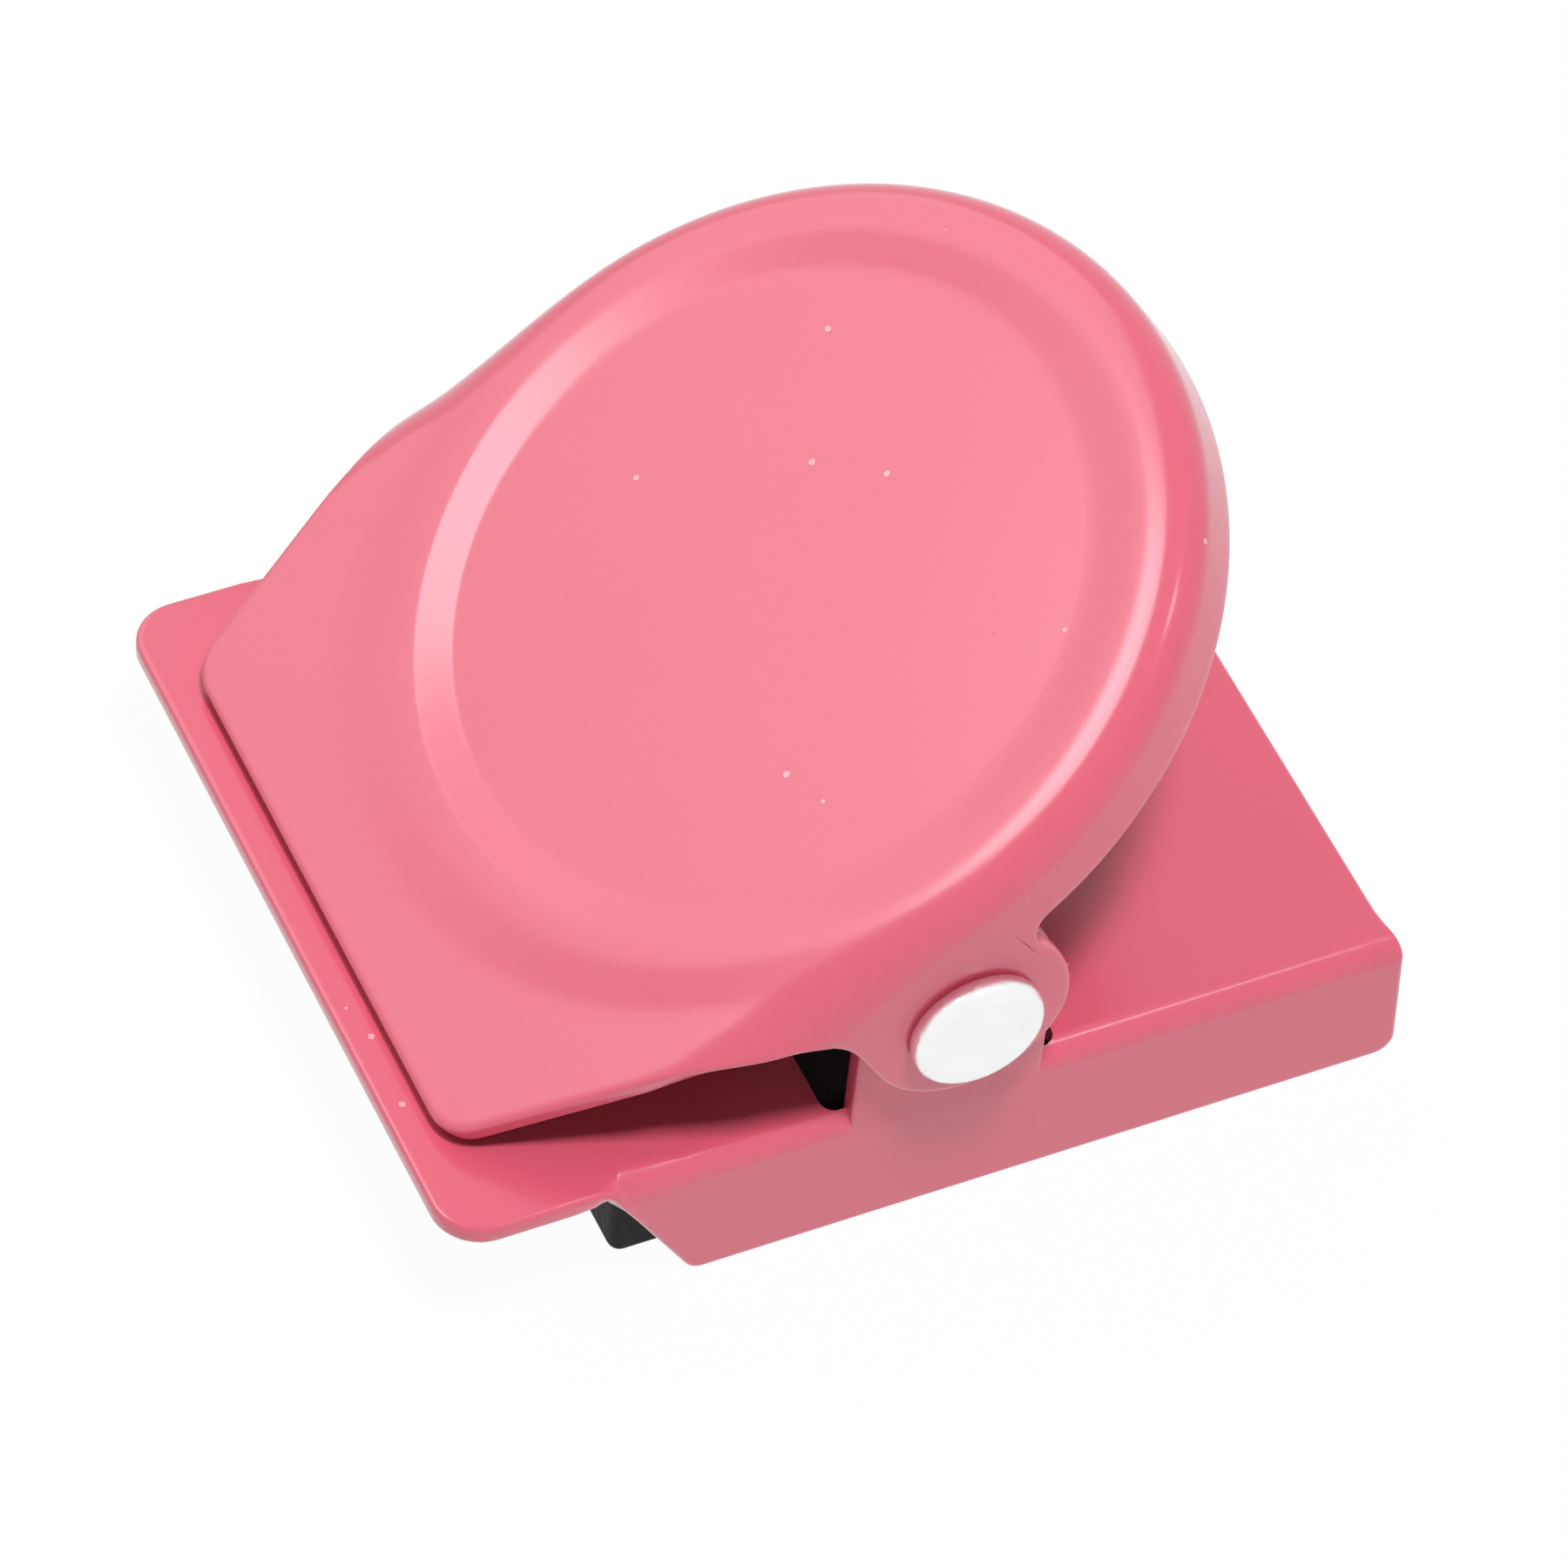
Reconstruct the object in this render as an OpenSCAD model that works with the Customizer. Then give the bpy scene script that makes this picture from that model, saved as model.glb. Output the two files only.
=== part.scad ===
// Magnetic clip: two steel pressings on one rivet, held closed by a wound spring, with a
// magnet bonded under the lower one.
// X runs along the rivet, Y from the jaw (negative) to the rear, and Z up. The origin is on
// the surface that the clip rests on, under the middle of the base.

/* [Base] */
// Width over the two side flanges
base_width = 30; // [26:0.5:38]
// Length from the front lip to the rear ends of the flanges
base_length = 36.8; // [34:0.2:44]
// Height of the flat top above the surface that the clip rests on
base_height = 6.05; // [5:0.05:8]
// Thickness of the base sheet
base_sheet = 0.8; // [0.6:0.05:1]
// Outside radius of the bends between top and flanges
base_bend_r = 1.3; // [1.1:0.05:2]
// Radius of the front lip's corners
lip_corner_r = 1.8; // [0.5:0.1:4]
// Length of the front lip, which has no flange
lip_length = 6.2; // [3:0.1:8]
// How far the flange's raked front edge runs back on its way down
flange_rake = 3.2; // [0:0.1:5]
// Radius of the flange's bottom corners
flange_corner_r = 0.8; // [0.2:0.1:2]
// How far the top's rear edge is cut back between the flanges
rear_setback = 0.65; // [0.2:0.05:1.5]

/* [Base ears] */
// Height of the pivot above the surface that the clip rests on
pivot_height = 10.9; // [10.4:0.05:13]
// How far the pivot sits behind the middle of the base
pivot_offset = 0.25; // [-1:0.05:1]
// Half of the width of an ear, which is also the radius of its top
base_ear_r = 3.65; // [2.8:0.05:3.9]
// Half of the length, front to rear, of the hole that an ear is lanced from
lance_half = 4.45; // [4.1:0.05:5]
// How much wider the lanced hole is than the ear that came out of it is long
lance_slack = 0.4; // [0.2:0.1:1]
// Width of the strip of flange edge that the lanced hole leaves standing
lance_ledge = 0.55; // [0.1:0.05:0.7]
// Radius of the lanced hole's corners
lance_corner_r = 0.5; // [0.1:0.05:1]

/* [Handle] */
// Thickness of the handle sheet
handle_sheet = 0.8; // [0.6:0.05:1]
// Distance from the pivot up to the underside of the nose
handle_rise = 4.75; // [4.6:0.05:5.5]
// How far the nose's front edge sits behind the front edge of the base
nose_setback = 1.6; // [0.5:0.05:4]
// Opening that is left under the closed nose
closed_gap = 0.05; // [0.02:0.01:0.3]
// Width of the nose at its front edge
nose_width = 22.6; // [18:0.1:25]
// Angle at which the nose widens towards the ears
nose_flare = 21.8; // [15:0.2:26]
// Radius of the nose's front corners
nose_corner_r = 1.8; // [0.3:0.1:3]
// Distance from the pivot back to the middle of the round thumb pad
pad_offset = 2.3; // [2:0.1:4]
// Outside radius of the bend from the pad's bead into its rim
rim_bend_r = 1.75; // [1.3:0.05:2.2]
// Distance from the pivot up to the rim's lower edge
rim_rise = 2.4; // [1.6:0.1:3]

/* [Thumb pad] */
// Distance from the pad's outside in to the crest of its bead
bead_inset = 2.1; // [1.8:0.05:3]
// Height of the bead's crest over the nose
bead_height = 0.5; // [0.3:0.05:0.8]
// Depth of the dished floor below the nose
dish_depth = 0.25; // [0.1:0.05:0.5]
// Width of the bead's inner slope
bead_inner = 1.65; // [1.4:0.05:2.2]
// Width of the bead's outer slope
bead_outer = 2.8; // [2:0.05:3.5]

/* [Handle ears] */
// Half of the width of an ear, which is also the radius of its lower end
handle_ear_r = 3.75; // [3.4:0.05:4.2]
// How much nearer to the pivot the ear's rear edge is where it joins the rim
ear_neck = 0.35; // [0:0.05:0.6]
// Height of the edge in front of the ear above the lower end of the bend there
shoulder_lift = 0.2; // [0.1:0.05:0.3]
// Fillet between the ear and the edge in front of it
front_fillet_r = 2.6; // [0.5:0.1:3.2]
// Fillet between the ear and the rim behind it
rear_fillet_r = 1; // [0.3:0.1:1.5]

/* [Rivet] */
// Diameter of the rivet's shank
shank_d = 3; // [2.4:0.1:3.4]
// Diameter of the rivet's flat heads
head_d = 4.9; // [4.6:0.1:6.5]
// Thickness of the heads
head_h = 0.9; // [0.6:0.05:1.2]
// Radius round the edge of the heads
head_edge_r = 0.3; // [0.1:0.05:0.5]
// Clearance round the shank in the base ears
shank_fit = 0.02; // [0.01:0.01:0.05]
// Running clearance round the shank in the handle ears
shank_clearance = 0.06; // [0.03:0.01:0.1]
// Running gap on each face of the handle ears
ear_gap = 0.1; // [0.09:0.01:0.15]

/* [Spring] */
// Diameter of the spring's wire
wire_d = 1.2; // [0.8:0.05:1.25]
// Clearance between the shank and the inside of the coil
coil_clearance = 0.65; // [0.5:0.05:0.8]
// Gap between neighbouring turns
coil_gap = 0.5; // [0.45:0.05:0.8]
// Number of whole turns besides the part turn between the legs
coil_turns = 5; // [3:1:7]
// Distance from the pivot back to the end of each leg
leg_reach = 11; // [8:0.5:12]
// Gap between a leg's end and what it bears on
leg_seat = 0.1; // [0.05:0.05:0.3]

/* [Magnet] */
// Gap between the magnet and each flange
magnet_side_gap = 0.7; // [0.3:0.05:2]
// Length of the magnet
magnet_length = 24; // [15:0.5:25]
// How far the magnet's front face sits behind the front edge of the base
magnet_setback = 7; // [5:0.1:8.5]
// Radius of the magnet's upright edges
magnet_edge_r = 0.5; // [0.2:0.1:1.5]
// Thickness of the bonding layer on top of the magnet
bond_h = 0.2; // [0.1:0.05:0.4]
// How far the bonding layer stops short of the magnet's edge
bond_inset = 0.8; // [0.3:0.1:2]

/* [Hidden] */
$fn = 96;

paint = [0.94, 0.52, 0.6];
// Reach of a cut past the faces that it passes through
over = 1;
// Overlap of neighbouring areas that are joined into one
lap = 0.2;

base_out = base_width / 2;
base_in = base_out - base_sheet;
base_front = -base_length / 2;
base_rear = base_length / 2;
plate_under = base_height - base_sheet;
flange_front = base_front + lip_length;
ear_top = pivot_height + base_ear_r;
lance_in = base_in - (ear_top - base_height) - lance_slack;
lance_out = base_out - lance_ledge;

handle_in = base_out + ear_gap;
handle_out = handle_in + handle_sheet;
nose_top = handle_rise + handle_sheet;
crest = nose_top + bead_height;
dish = nose_top - dish_depth;
crest_r = handle_out - bead_inset;
dish_r = crest_r - bead_inner;
apron_r = crest_r + bead_outer;
shoulder_rise = crest - rim_bend_r + shoulder_lift;
handle_far = base_length;

// The nose's lower front edge lands on the base: its place there and its height on the
// handle fix how long the nose is and how far the handle leans.
tip_run = base_length / 2 - nose_setback + pivot_offset;
tip_drop = pivot_height - base_height - closed_gap;
nose_reach = sqrt(tip_run * tip_run + tip_drop * tip_drop - handle_rise * handle_rise);
handle_lean = atan2(tip_drop, tip_run) + atan2(handle_rise, nose_reach);

shank_r = shank_d / 2;
head_r = head_d / 2;
head_in = handle_out + ear_gap;
head_out = head_in + head_h;

magnet_width = 2 * (base_in - magnet_side_gap);
magnet_h = plate_under - bond_h;
magnet_middle = base_front + magnet_setback + magnet_length / 2;

function unit(v) = v / norm(v);

// Places where a corner's rounding starts and ends, and the middle of its arc
function corner_half(p, i) =
    let (n = len(p), a = unit(p[(i + n - 1) % n] - p[i]), b = unit(p[(i + 1) % n] - p[i]))
    acos(a * b) / 2;
function corner_points(p, r, i) =
    let (n = len(p), a = unit(p[(i + n - 1) % n] - p[i]), b = unit(p[(i + 1) % n] - p[i]))
    let (d = r / tan(corner_half(p, i)))
    r == 0 ? [p[i]] : [p[i] + a * d, p[i] + b * d];
function corner_middle(p, r, i) =
    let (n = len(p), a = unit(p[(i + n - 1) % n] - p[i]), b = unit(p[(i + 1) % n] - p[i]))
    p[i] + unit(a + b) * r / sin(corner_half(p, i));
function is_convex(p, i) =
    let (n = len(p), a = p[i] - p[(i + n - 1) % n], b = p[(i + 1) % n] - p[i])
    a[0] * b[1] - a[1] * b[0] > 0;

// An outline, anticlockwise, with a radius for each of its corners
module rounded(p, radii) {
    difference() {
        union() {
            polygon([for (i = [0 : len(p) - 1]) each corner_points(p, radii[i], i)]);
            for (i = [0 : len(p) - 1])
                if (radii[i] > 0 && is_convex(p, i))
                    translate(corner_middle(p, radii[i], i)) circle(radii[i]);
        }
        for (i = [0 : len(p) - 1])
            if (radii[i] > 0 && !is_convex(p, i))
                translate(corner_middle(p, radii[i], i)) circle(radii[i]);
    }
}

// A flat outline of (x, z) swept from y0 to y1, and one of (y, z) swept from x0 to x1
module along_y(y0, y1) {
    translate([0, y1, 0]) rotate([90, 0, 0]) linear_extrude(y1 - y0) children();
}
module along_x(x0, x1) {
    translate([x0, 0, 0]) rotate([90, 0, 90]) linear_extrude(x1 - x0) children();
}

// Moves what is drawn round the pivot to its place over the base
module at_pivot() {
    translate([0, pivot_offset, pivot_height]) children();
}

// A straight hole along the pivot, through both sides of a piece
module pivot_bore(r, reach) {
    translate([-reach, 0, 0]) rotate([0, 90, 0]) cylinder(r = r, h = 2 * reach);
}

// Half-round-topped section of a bent sheet, from its foot up to its top
module arch(half, foot, top, r) {
    rounded([[-half, foot], [half, foot], [half, top], [-half, top]], [0, 0, r, r]);
}

module base_flanges() {
    intersection() {
        along_y(flange_front, base_rear)
            difference() {
                arch(base_out, 0, base_height, base_bend_r);
                arch(base_in, -over, plate_under, base_bend_r - base_sheet);
            }
        along_x(-base_out - over, base_out + over)
            rounded([[flange_front + flange_rake, 0], [base_rear, 0],
                     [base_rear, base_height + over], [flange_front, base_height + over],
                     [flange_front, plate_under]],
                    [flange_corner_r, flange_corner_r, 0, 0, 0]);
    }
}

module base_lip() {
    translate([0, 0, plate_under])
        linear_extrude(base_sheet)
            rounded([[-base_out, base_front], [base_out, base_front],
                     [base_out, flange_front], [-base_out, flange_front]],
                    [lip_corner_r, lip_corner_r, 0, 0]);
}

module base_ears() {
    ear_foot = plate_under - base_bend_r - pivot_height;
    at_pivot()
        for (x = [-base_out, base_in])
            along_x(x, x + base_sheet) {
                circle(base_ear_r);
                translate([-base_ear_r, ear_foot]) square([2 * base_ear_r, -ear_foot]);
            }
}

module lance_outline() {
    translate([0, pivot_offset])
        rounded([[lance_in, -lance_half], [lance_out, -lance_half],
                 [lance_out, lance_half], [lance_in, lance_half]],
                [for (i = [0 : 3]) lance_corner_r]);
}

// What is cut off the top's rear edge between the two bends
module rear_notch() {
    half = base_out - base_bend_r;
    translate([0, base_rear, plate_under - over])
        linear_extrude(base_sheet + 2 * over)
            rounded([[-half, -rear_setback], [half, -rear_setback], [half, over], [-half, over]],
                    [rear_setback / 2, rear_setback / 2, 0, 0]);
}

module base_plate() {
    color(paint)
        difference() {
            union() {
                difference() {
                    union() {
                        base_flanges();
                        base_lip();
                    }
                    for (side = [0, 1])
                        mirror([side, 0, 0])
                            translate([0, 0, plate_under - base_bend_r + base_sheet])
                                linear_extrude(base_bend_r + over) lance_outline();
                    rear_notch();
                }
                base_ears();
            }
            at_pivot() pivot_bore(shank_r + shank_fit, base_out + over);
        }
}

// Plan of the magnet, drawn in by inset
module magnet_plan(inset) {
    w = magnet_width / 2 - inset;
    l = magnet_length / 2 - inset;
    translate([0, magnet_middle])
        rounded([[-w, -l], [w, -l], [w, l], [-w, l]], [for (i = [0 : 3]) magnet_edge_r]);
}

module magnet() {
    color([0.1, 0.1, 0.11]) linear_extrude(magnet_h) magnet_plan(0);
}

// The bond stops at the lanced holes, through which the bare magnet shows
module magnet_adhesive() {
    color([0.22, 0.2, 0.18])
        translate([0, 0, magnet_h])
            linear_extrude(bond_h)
                difference() {
                    magnet_plan(bond_inset);
                    for (side = [0, 1]) mirror([side, 0]) lance_outline();
                }
}

module pivot_rivet() {
    color([0.86, 0.87, 0.88])
        at_pivot()
            rotate([0, 90, 0])
                rotate_extrude()
                    rounded([[0, -head_out], [head_r, -head_out], [head_r, -head_in],
                             [shank_r, -head_in], [shank_r, head_in], [head_r, head_in],
                             [head_r, head_out], [0, head_out]],
                            [0, head_edge_r, 0, 0, 0, 0, head_edge_r, 0]);
}

// The spring's legs leave the coil along tangents and end just clear of the base's top and
// of the dished floor's underside.
wire_r = wire_d / 2;
coil_r = shank_r + coil_clearance + wire_r;
coil_pitch = wire_d + coil_gap;
base_seat = [leg_reach, base_height + leg_seat + wire_r - pivot_height];
pad_seat_flat = [leg_reach, dish - handle_sheet - leg_seat - wire_r];
pad_seat_turn = atan2(pad_seat_flat[1], pad_seat_flat[0]) + handle_lean;
pad_seat = norm(pad_seat_flat) * [cos(pad_seat_turn), sin(pad_seat_turn)];
base_leg_turn = atan2(base_seat[1], base_seat[0]) + asin(coil_r / norm(base_seat));
pad_leg_turn = pad_seat_turn - asin(coil_r / norm(pad_seat));
coil_start = base_leg_turn - 90;
coil_sweep = 360 * coil_turns + 360 - (pad_leg_turn + 90 - coil_start);
coil_steps = ceil(coil_sweep / 45);
coil_half = coil_pitch * coil_sweep / 720;
wire_sides = 6;

function coil_point(i) =
    let (k = i / coil_steps, a = coil_start - k * coil_sweep)
    [(2 * k - 1) * coil_half, coil_r * cos(a), coil_r * sin(a)];
wire_path = concat([[-coil_half, base_seat[0], base_seat[1]]],
                   [for (i = [0 : coil_steps]) coil_point(i)],
                   [[coil_half, pad_seat[0], pad_seat[1]]]);
wire_last = len(wire_path) - 1;

// Least distance from one turn to another, between the wire's faces
neighbour_gap = min([for (i = [1 : wire_last - 7]) for (j = [i + 6 : wire_last - 1])
                     norm(wire_path[i] - wire_path[j]) - wire_d]);
echo(str("least gap between the spring's turns: ", neighbour_gap, " mm"));

function wire_way(i) =
    unit(wire_path[min(i + 1, wire_last)] - wire_path[max(i - 1, 0)]);
function wire_ring(i) =
    let (side = unit(cross(wire_way(i), [1, 0, 0])), axial = cross(side, wire_way(i)))
    [for (k = [0 : wire_sides - 1])
        let (a = 360 * k / wire_sides)
        wire_path[i] + wire_r * (cos(a) * axial + sin(a) * side)];

module torsion_spring() {
    skin = [for (i = [0 : wire_last - 1]) for (k = [0 : wire_sides - 1])
        let (next = (k + 1) % wire_sides, a = i * wire_sides, b = a + wire_sides)
        each [[a + k, b + next, a + next], [a + k, b + k, b + next]]];
    first_end = [for (k = [1 : wire_sides - 2]) [0, k, k + 1]];
    end_at = wire_last * wire_sides;
    last_end = [for (k = [1 : wire_sides - 2]) [end_at, end_at + k + 1, end_at + k]];
    color([0.62, 0.63, 0.65])
        at_pivot()
            polyhedron([for (i = [0 : wire_last]) each wire_ring(i)],
                       concat(skin, first_end, last_end));
}

// The area under one slope of the bead: it leaves the level at foot and rounds over at top,
// in two arcs that meet. Both are given as (distance from the pad's middle, height).
module bead_slope(foot, top, top_r) {
    way = foot[0] < top[0] ? 1 : -1;
    run = abs(top[0] - foot[0]);
    rise = top[1] - foot[1];
    foot_r = (run * run + rise * rise) / (2 * rise) - top_r;
    foot_middle = foot + [0, foot_r];
    top_middle = top - [0, top_r];
    meet = foot_middle + (top_middle - foot_middle) * foot_r / (foot_r + top_r);
    low = foot[1] - lap;
    past = top[0] + way * lap;
    difference() {
        polygon([[foot[0], low], [meet[0], low], meet, [foot[0], meet[1]]]);
        translate(foot_middle) circle(foot_r);
    }
    intersection() {
        polygon([[meet[0], low], [past, low], [past, top[1]], [meet[0], top[1]]]);
        translate(top_middle) circle(top_r);
    }
}

// Everything under the pressed face of the handle, turned about the middle of the pad. The
// face of the underside lies one sheet further in.
module pressed_face(inward) {
    floor_z = dish - inward;
    crest_z = crest - inward;
    nose_z = nose_top - inward;
    top_r = rim_bend_r - inward;
    foot_z = -handle_ear_r - over;
    translate([0, pad_offset, 0])
        rotate_extrude()
            difference() {
                translate([0, foot_z]) square([handle_far, crest_z + over - foot_z]);
                difference() {
                    translate([-over, floor_z]) square([over + crest_r + lap, handle_far]);
                    bead_slope([dish_r, floor_z], [crest_r, crest_z], top_r);
                }
                difference() {
                    translate([crest_r - lap, nose_z]) square(handle_far);
                    bead_slope([apron_r, nose_z], [crest_r, crest_z], top_r);
                }
            }
}

// The cap that the sheet is bent over: an arch along the nose, rounded off behind the pad. The
// cap for the underside lies one sheet further in.
module handle_cap(inward) {
    half = handle_out - inward;
    top = crest - inward;
    r = rim_bend_r - inward;
    foot = -handle_ear_r - over;
    along_y(-nose_reach - over, pad_offset) arch(half, foot, top, r);
    translate([0, pad_offset, 0])
        rotate_extrude()
            rounded([[0, foot], [half, foot], [half, top], [0, top]], [0, 0, r, 0]);
}

// Plan of the handle: the nose and its flare, open to the full width behind them
module nose_plan() {
    nose = nose_width / 2;
    wide = handle_out + over;
    flare_end = -nose_reach + (wide - nose) / tan(nose_flare);
    rounded([[-nose, -nose_reach], [nose, -nose_reach], [wide, flare_end],
             [wide, handle_far], [-wide, handle_far], [-wide, flare_end]],
            [nose_corner_r, nose_corner_r, 0, 0, 0, 0]);
}

// Side view of the handle: the ear round the pivot, the edge before it and the rim behind it
module ear_side() {
    circle(handle_ear_r);
    rounded([[-handle_far, shoulder_rise], [-handle_ear_r, shoulder_rise], [-handle_ear_r, 0],
             [handle_ear_r, 0], [handle_ear_r - ear_neck, rim_rise], [handle_far, rim_rise],
             [handle_far, crest + over], [-handle_far, crest + over]],
            [0, front_fillet_r, 0, 0, rear_fillet_r, 0, 0, 0]);
}

module handle() {
    color(paint)
        at_pivot()
            rotate([handle_lean, 0, 0])
                difference() {
                    intersection() {
                        handle_cap(0);
                        pressed_face(0);
                        translate([0, 0, -handle_far])
                            linear_extrude(2 * handle_far) nose_plan();
                        along_x(-handle_out - over, handle_out + over) ear_side();
                    }
                    intersection() {
                        handle_cap(handle_sheet);
                        pressed_face(handle_sheet);
                    }
                    pivot_bore(shank_r + shank_clearance, handle_out + over);
                }
}

base_plate();
magnet();
magnet_adhesive();
pivot_rivet();
torsion_spring();
handle();
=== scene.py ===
# %% [markdown]
# # A magnetic clip
# The clip is two painted steel pressings on one rivet. A wound spring inside holds the nose of
# the handle down on the base, and a block magnet under the base holds the clip to a steel door.
# The imported CAD model is loaded first and never moved: it says where everything is, in metres.

# %% Load the frame
import math

import bpy
import numpy as np
from mathutils import Matrix, Vector


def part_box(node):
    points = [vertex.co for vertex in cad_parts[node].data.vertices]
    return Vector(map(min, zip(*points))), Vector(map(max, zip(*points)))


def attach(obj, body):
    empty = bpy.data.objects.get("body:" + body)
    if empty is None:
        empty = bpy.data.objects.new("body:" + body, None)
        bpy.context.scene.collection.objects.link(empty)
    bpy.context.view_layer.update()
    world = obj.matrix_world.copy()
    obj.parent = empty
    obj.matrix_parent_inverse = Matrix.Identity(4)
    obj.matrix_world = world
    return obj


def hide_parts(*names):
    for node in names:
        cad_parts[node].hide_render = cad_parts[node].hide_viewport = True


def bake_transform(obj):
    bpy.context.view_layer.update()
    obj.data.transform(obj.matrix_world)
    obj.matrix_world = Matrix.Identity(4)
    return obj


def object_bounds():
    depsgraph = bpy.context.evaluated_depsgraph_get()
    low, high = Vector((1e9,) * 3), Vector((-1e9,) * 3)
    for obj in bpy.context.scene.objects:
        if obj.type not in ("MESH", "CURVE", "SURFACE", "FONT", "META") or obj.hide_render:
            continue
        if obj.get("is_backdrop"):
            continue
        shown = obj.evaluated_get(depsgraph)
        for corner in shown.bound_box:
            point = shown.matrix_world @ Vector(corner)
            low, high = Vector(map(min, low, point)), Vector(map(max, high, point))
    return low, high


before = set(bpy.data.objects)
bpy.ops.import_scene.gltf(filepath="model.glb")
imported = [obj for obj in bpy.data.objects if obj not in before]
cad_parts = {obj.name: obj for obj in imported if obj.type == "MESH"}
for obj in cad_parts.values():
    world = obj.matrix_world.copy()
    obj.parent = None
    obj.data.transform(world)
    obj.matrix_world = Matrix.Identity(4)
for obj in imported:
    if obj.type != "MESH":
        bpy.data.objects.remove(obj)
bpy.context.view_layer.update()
MM = 0.001

# %% [markdown]
# ## Camera
# The photograph was taken from the near side and well above, with the camera rolled a little.
# A long lens keeps the far edges of the clip nearly parallel to the near ones. A Track To
# constraint could aim the camera, but it can't hold the roll. So the camera's three axes are built
# from azimuth, elevation and roll, and they go straight into its matrix.

# %% Camera
AZIMUTH, ELEVATION, ROLL = (math.radians(angle) for angle in (60.449, 49.901, 6.759))
AIM = Vector((0.498, 0.587, 6.0)) * MM
CAMERA_DISTANCE = 347.03 * MM
LENS = 225.44

back = Vector((math.sin(AZIMUTH) * math.cos(ELEVATION),
               -math.cos(AZIMUTH) * math.cos(ELEVATION), math.sin(ELEVATION)))
level = Vector((math.cos(AZIMUTH), math.sin(AZIMUTH), 0))
upright = back.cross(level)
right = level * math.cos(ROLL) + upright * math.sin(ROLL)
top = upright * math.cos(ROLL) - level * math.sin(ROLL)

bpy.ops.object.camera_add()
camera = bpy.context.object
camera.matrix_world = (Matrix.Translation(AIM + back * CAMERA_DISTANCE)
                       @ Matrix((right, top, back)).transposed().to_4x4())
camera.data.lens = LENS
camera.data.sensor_width = 36
camera.data.clip_start = 0.01
bpy.context.scene.camera = camera
print("camera looks down at", round(math.degrees(ELEVATION), 1), "degrees")

# %% [markdown]
# ## Shader helper
# Procedural finishes need a lot of arithmetic on textures. The nodes could be linked one by one,
# but such a list is hard to read. Here a Tap wraps one output socket, and its operators add Math
# nodes, so that a mask can be written as a formula. Every other node comes from Tap.node, which
# sets the node's own settings first and then its sockets.

# %% Shader helper
class Tap:
    def __init__(self, tree, socket):
        self.tree = tree
        self.socket = socket

    @classmethod
    def node(cls, tree, kind, settings=None, inputs=None, output=0):
        made = tree.nodes.new(kind)
        for key, value in (settings or {}).items():
            setattr(made, key, value)
        for key, value in (inputs or {}).items():
            if isinstance(value, Tap):
                tree.links.new(value.socket, made.inputs[key])
            else:
                made.inputs[key].default_value = value
        return cls(tree, made.outputs[output])

    def maths(self, operation, first, second):
        return Tap.node(self.tree, "ShaderNodeMath", {"operation": operation},
                        {0: first, 1: second})

    def __add__(self, other):
        return self.maths("ADD", self, other)

    def __sub__(self, other):
        return self.maths("SUBTRACT", self, other)

    def __mul__(self, other):
        return self.maths("MULTIPLY", self, other)

    def __gt__(self, other):
        return self.maths("GREATER_THAN", self, other)

    def __lt__(self, other):
        return self.maths("LESS_THAN", self, other)

    __radd__ = __add__


def new_finish(name):
    finish = bpy.data.materials.new(name)
    finish.use_nodes = True
    tree = finish.node_tree
    shader = tree.nodes["Principled BSDF"]
    place = Tap.node(tree, "ShaderNodeTexCoord", output="Object")
    return finish, tree, shader, place


def noise(tree, place, size_mm, detail):
    return Tap.node(tree, "ShaderNodeTexNoise", None,
                    {"Vector": place, "Scale": 1 / (size_mm * MM), "Detail": detail})


def cells(tree, place, size_mm, output="Distance"):
    return Tap.node(tree, "ShaderNodeTexVoronoi", None,
                    {"Vector": place, "Scale": 1 / (size_mm * MM)}, output)


def mix_colour(tree, share, first, second):
    return Tap.node(tree, "ShaderNodeMix", {"data_type": "RGBA"},
                    {0: share, 6: first, 7: second}, 2)


def bump(tree, height, depth_mm):
    return Tap.node(tree, "ShaderNodeBump", None,
                    {"Height": height, "Distance": depth_mm * MM, "Strength": 1.0})


def feed(tree, tap, shader, socket):
    tree.links.new(tap.socket, shader.inputs[socket])


print("shader helper ready")

# %% [markdown]
# ## Satin paint
# The steel is sprayed pink. Seen close, such paint has a fine orange-peel grain, soft clouds
# where the coat is thicker, and a few specks of dust that were caught in it. One plain colour
# would look like plastic. So the grain goes into the normal and slightly into the colour, the
# clouds into colour and roughness, and the specks come from the middles of Voronoi cells, most of
# which are left out. The colour itself has little gloss, and a clear coat over it gives the satin
# sheen. The inner faces of the pressings get a darker colour, which is painted shade for the gaps.

# %% Satin paint
paint, tree, shader, place = new_finish("pink_satin_paint")
clouds = noise(tree, place, 9, 3)
grain = noise(tree, place, 0.22, 2)


def dots(gap_mm, radius, threshold):
    """Dots in the middles of Voronoi cells. A higher threshold leaves fewer of them."""
    picked = cells(tree, place, gap_mm, "Color") > threshold
    return (cells(tree, place, gap_mm) < radius) * picked


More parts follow.
